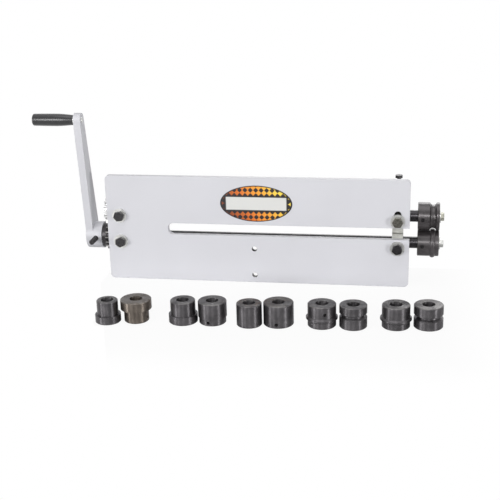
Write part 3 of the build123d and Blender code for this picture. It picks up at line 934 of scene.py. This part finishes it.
# %% [markdown]
# ## The table's finish
#
# The photograph is a catalogue picture: everything stands on white, with hardly a shadow. The table is white and
# matt. Near the machine a share of its white is shown to the camera only, and further off all of it, so that the
# background is clean and the shadow stays.

# %% White, but with the shadow kept
SHOWN_NEAR = 0.93
NEAR_HALF_X = 0.34
NEAR_HALF_Y = 0.26
NEAR_MIDDLE_Y = -0.06
SHOWN_FULLY_AFTER = 0.12


def white_table():
    material, start, shader, place = finish_named("white table")
    tree = material.node_tree
    cloud = start.grain(place, 3.0, 2.0)
    feed(shader, Base_Color=cloud.mixed(rgb(0.86, 0.86, 0.86), rgb(0.88, 0.88, 0.88)), Roughness=0.9)
    feed(shader, Specular_IOR_Level=0.0)
    x, y, _ = start.parts(place)
    beyond_x = start.maths("MAXIMUM", abs(x) - NEAR_HALF_X)
    beyond_y = start.maths("MAXIMUM", abs(y - NEAR_MIDDLE_Y) - NEAR_HALF_Y)
    share = distance(beyond_x, beyond_y).ramp(0.0, SHOWN_FULLY_AFTER, SHOWN_NEAR, 1.0)
    ray = tree.nodes.new("ShaderNodeLightPath")
    seen = Signal(tree, ray.outputs["Is Camera Ray"]) * share
    glow = start.node("Emission", None, {"Color": rgb(1, 1, 1), "Strength": 1.0})
    mix = tree.nodes.new("ShaderNodeMixShader")
    tree.links.new(seen.socket, mix.inputs[0])
    tree.links.new(shader.outputs[0], mix.inputs[1])
    tree.links.new(glow.socket, mix.inputs[2])
    tree.links.new(mix.outputs[0], tree.nodes["Material Output"].inputs[0])
    return material


table_white = white_table()
print("table white ready")

# %% [markdown]
# ## The table
#
# The table is a sheet level with the plate's lower edge and the spare dies. The crank swings lower than that, so
# the sheet ends just behind the machine, and its left side is cut on a slant, round the first spare die, where
# the crank would be hidden from in front.

# %% Lay the table
BELOW_PLATE = 0.2 * MM
LEFT_OF_PLATE = 12.0 * MM
TABLE_BACK = 0.10
FAR = 6.0
SLANT_FROM_Y = -0.0435
SLANT_FAR_X = 1.72
ROUND_FIRST_DIE = [(-0.2535, -0.176), (-0.2535, -0.236), (-0.2455, -0.252), (-0.2276, -0.2535)]
plate_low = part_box("frame_plate")[0]
floor_z = plate_low.z - BELOW_PLATE
table_left = plate_low.x - LEFT_OF_PLATE
straight_edges = [(SLANT_FAR_X, -FAR), (FAR, -FAR), (FAR, TABLE_BACK), (table_left, TABLE_BACK)]
sheet = bmesh.new()
corners = straight_edges + [(table_left, SLANT_FROM_Y)] + ROUND_FIRST_DIE
sheet.faces.new([sheet.verts.new((x, y, floor_z)) for x, y in corners])
table_mesh = bpy.data.meshes.new("table")
sheet.to_mesh(table_mesh)
sheet.free()
table_mesh.materials.append(table_white)
table = bpy.data.objects.new("table", table_mesh)
bpy.context.scene.collection.objects.link(table)
print("table at", round(floor_z / MM, 2), "mm")

# %% [markdown]
# ## Lamps
#
# Two small lamps stand low at the left and the right, so that each upright turned piece shows two upright
# streaks. Two more stand in front, a little higher than the camera: one draws a bright line along the mounted
# dies, the other one along the grip. Large panels light the tops and the back.

# %% Softboxes
MIDDLE = Vector((0.0, 0.0, 0.05))


def softbox(name, place, width, height, power):
    """A rectangular lamp that faces the machine's middle, in metres and watts."""
    light = bpy.data.lights.new(name, "AREA")
    light.shape = "RECTANGLE"
    light.size = width
    light.size_y = height
    light.energy = power
    lamp = bpy.data.objects.new(name, light)
    lamp.location = place
    lamp.rotation_euler = (MIDDLE - Vector(place)).to_track_quat("-Z", "Y").to_euler()
    bpy.context.scene.collection.objects.link(lamp)


softbox("left lamp", (-1.75, -1.45, 0.24), 0.30, 0.30, 17.0)
softbox("right lamp", (1.95, -1.30, 0.24), 0.30, 0.30, 17.0)
softbox("lamp for the dies", (0.33, -2.25, 0.98), 0.30, 0.20, 10.0)
softbox("lamp for the grip", (-1.02, -2.05, 0.75), 0.50, 0.80, 15.0)
softbox("overhead panel", (0.1, -0.2, 2.2), 2.2, 1.6, 16.0)
softbox("rear panel", (0.2, 2.1, 1.3), 1.6, 1.0, 18.0)
print(len(bpy.data.lights), "lamps")

# %% [markdown]
# ## The world
#
# The world fills the shadows with a low, even light. Only the camera, reflections and clear material see it at
# full strength, as white.

# %% Fill light and white background
FILL = 0.12
world = bpy.data.worlds.new("studio")
bpy.context.scene.world = world
world.use_nodes = True
air = world.node_tree
sky = air.nodes["Background"]
rays = air.nodes.new("ShaderNodeLightPath")
seen = Signal(air, rays.outputs["Is Camera Ray"])
glossy = Signal(air, rays.outputs["Is Glossy Ray"])
through = Signal(air, rays.outputs["Is Transmission Ray"])
shown = seen.maths("MAXIMUM", seen, glossy.maths("MAXIMUM", glossy, through))
strength = shown * (1.0 - FILL) + FILL
sky.inputs["Color"].default_value = rgb(1, 1, 1)
air.links.new(strength.socket, sky.inputs["Strength"])
bpy.context.scene.view_settings.view_transform = "Standard"
print("fill light", FILL)

# %% [markdown]
# ## Camera
#
# The camera was matched to the plate's edges, the slot, the holes and the bolts in the photograph. It looks
# slightly from the right and from above, with a hair of roll.

# %% Match the camera
FOCAL_PIXELS = 1013.07
PICTURE_PIXELS = 500
SENSOR_WIDTH = 36.0
EYE = Vector((299.95, -1812.74, 635.61)) * MM
pan = math.radians(9.711)
tilt = math.radians(18.5)
roll = math.radians(-1.501)
forward = Vector((-math.sin(pan) * math.cos(tilt), math.cos(pan) * math.cos(tilt), -math.sin(tilt)))
level = Vector((math.cos(pan), math.sin(pan), 0.0))
upright = level.cross(forward)
right = math.cos(roll) * level + math.sin(roll) * upright
up = -math.sin(roll) * level + math.cos(roll) * upright
lens = bpy.data.cameras.new("camera")
lens.sensor_width = SENSOR_WIDTH
lens.lens = FOCAL_PIXELS / PICTURE_PIXELS * SENSOR_WIDTH
camera = bpy.data.objects.new("camera", lens)
turn = Matrix((right, up, -forward)).transposed()
camera.matrix_world = Matrix.Translation(EYE) @ turn.to_4x4()
bpy.context.scene.collection.objects.link(camera)
bpy.context.scene.camera = camera
print("lens", round(lens.lens, 2), "mm")
